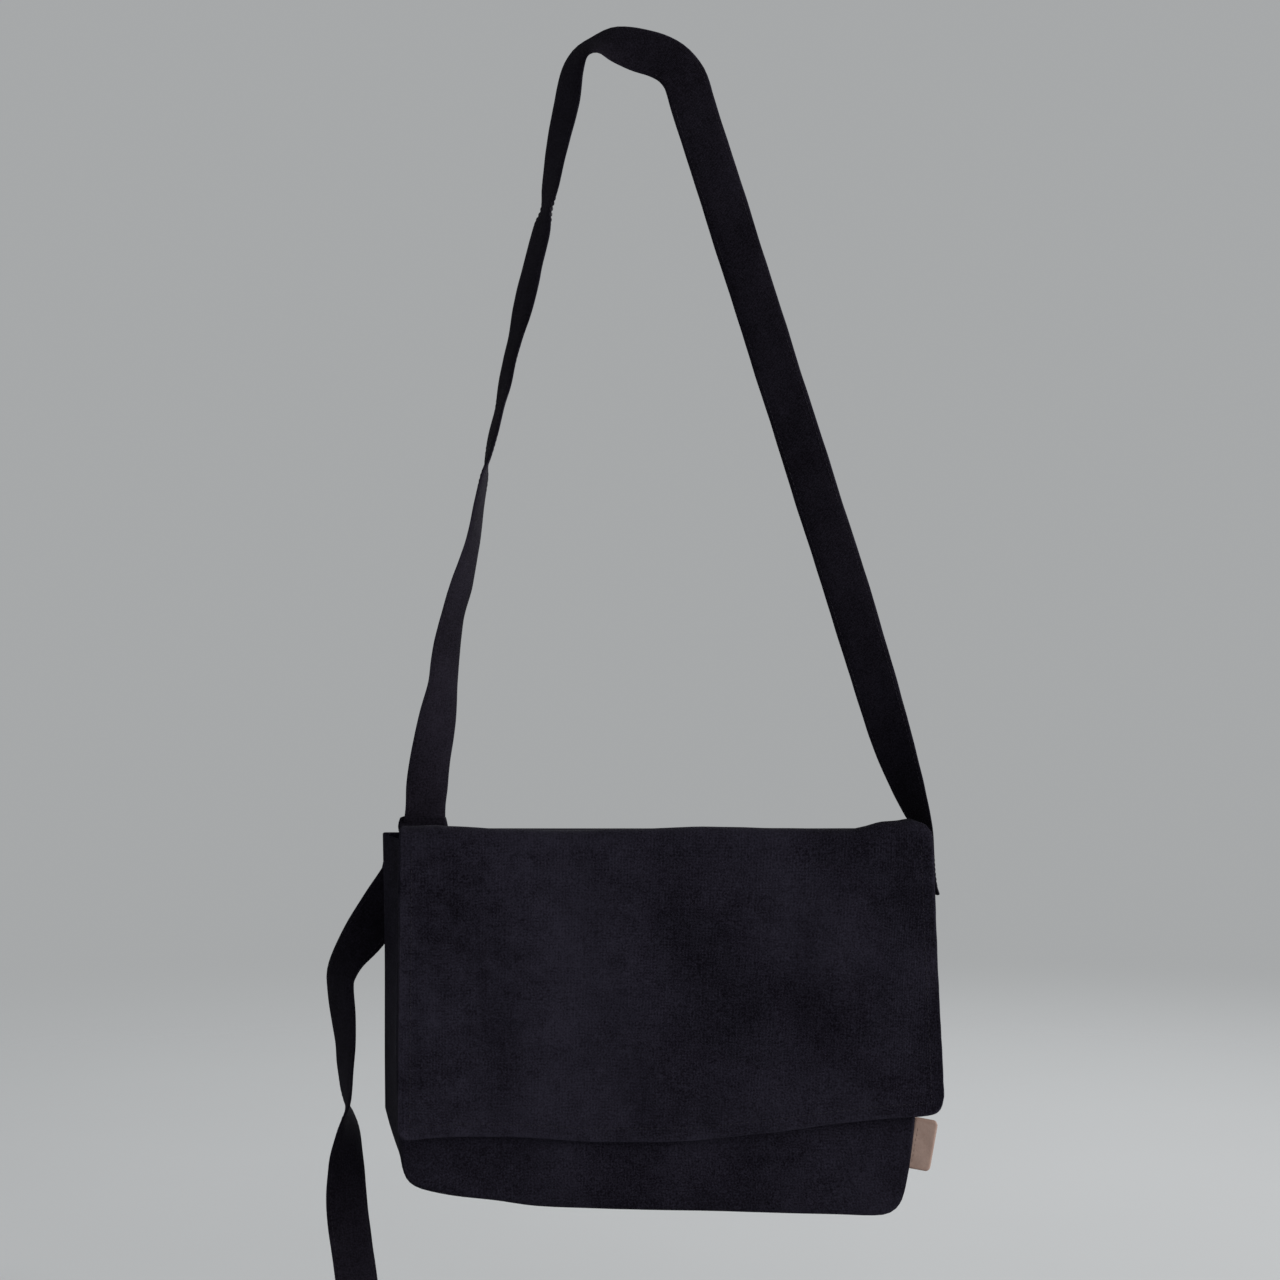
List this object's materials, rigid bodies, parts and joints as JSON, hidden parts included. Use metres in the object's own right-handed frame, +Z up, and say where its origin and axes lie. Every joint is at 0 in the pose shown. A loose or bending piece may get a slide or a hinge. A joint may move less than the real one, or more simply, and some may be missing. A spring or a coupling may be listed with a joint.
{
  "type": "canvas flap shoulder bag",
  "caption": "Small black canvas shoulder bag with a full front flap, a boxed body, a slip pocket, a long flat strap with a hanging tail and a leather side tag.",
  "frame": {"origin": "middle of the strap's crown, on its lower edge, where the hook or peg carries it", "axes": "+Z up along the hanging bag, -Y towards the side the flap covers, +X towards the side where the strap is sewn on"},
  "size_m": [0.3324, 0.0784, 0.7642],
  "materials": {
    "canvas": "matte woven canvas",
    "lining": "matte plain-weave cotton",
    "strap": "matte folded canvas strap",
    "thread": "matte polyester thread",
    "leather": "smooth vegetable-tanned leather"
  },
  "bodies": {
    "strap": {"strap_crown": "strap", "strap_leg_left": "strap", "strap_leg_right": "strap"},
    "bag": {"back_panel": "canvas", "front_panel": "canvas", "gusset_left": "canvas", "gusset_right": "canvas", "bottom_panel": "canvas", "lining_back": "lining", "lining_front": "lining", "lining_gusset": "lining", "hem_front": "canvas", "hem_back": "canvas", "hem_left": "canvas", "hem_right": "canvas", "slip_pocket": "lining", "pocket_hem": "lining", "flap_seam_strip": "canvas", "keeper_loop": "strap", "strap_in_keeper": "strap", "strap_knot": "strap", "strap_sewn_end": "strap", "stitching_strap_end": "thread", "stitching_keeper": "thread", "stitching_mouth": "thread", "stitching_flap_seam": "thread"},
    "flap_lid": {"flap_top": "canvas", "flap_top_facing": "lining"},
    "flap_drop": {"flap_front": "canvas", "flap_front_facing": "lining", "stitching_flap_edge": "thread"},
    "tail": {"strap_tail": "strap", "tail_hem": "strap"},
    "tag": {"leather_tag": "leather", "stitching_tag": "thread"}
  },
  "joints": [
    {"name": "bag_sway", "type": "hinge", "parent": "strap", "child": "bag", "pos_m": [-0.12, 0.0046, -0.413], "axis": [-0.9954, 0.0958, 0], "range_deg": [0, 22]},
    {"name": "flap_lift", "type": "hinge", "parent": "bag", "child": "flap_lid", "pos_m": [0.006, -0.0002, -0.4204], "axis": [-1, 0, 0], "range_deg": [0, 26]},
    {"name": "flap_fold", "type": "hinge", "parent": "flap_lid", "child": "flap_drop", "pos_m": [0.006, -0.04724, -0.4204], "axis": [-1, 0, 0], "range_deg": [0, 115]},
    {"name": "tail_swing", "type": "hinge", "parent": "bag", "child": "tail", "pos_m": [-0.131, 0.006, -0.4414], "axis": [1, 0, 0], "range_deg": [0, 40]},
    {"name": "tag_flex", "type": "hinge", "parent": "bag", "child": "tag", "pos_m": [0.1468, -0.04855, -0.5845], "axis": [0.056, 0, 0.9984], "range_deg": [-15, 15], "stiffness_Nm_per_rad": 0.002}
  ]
}
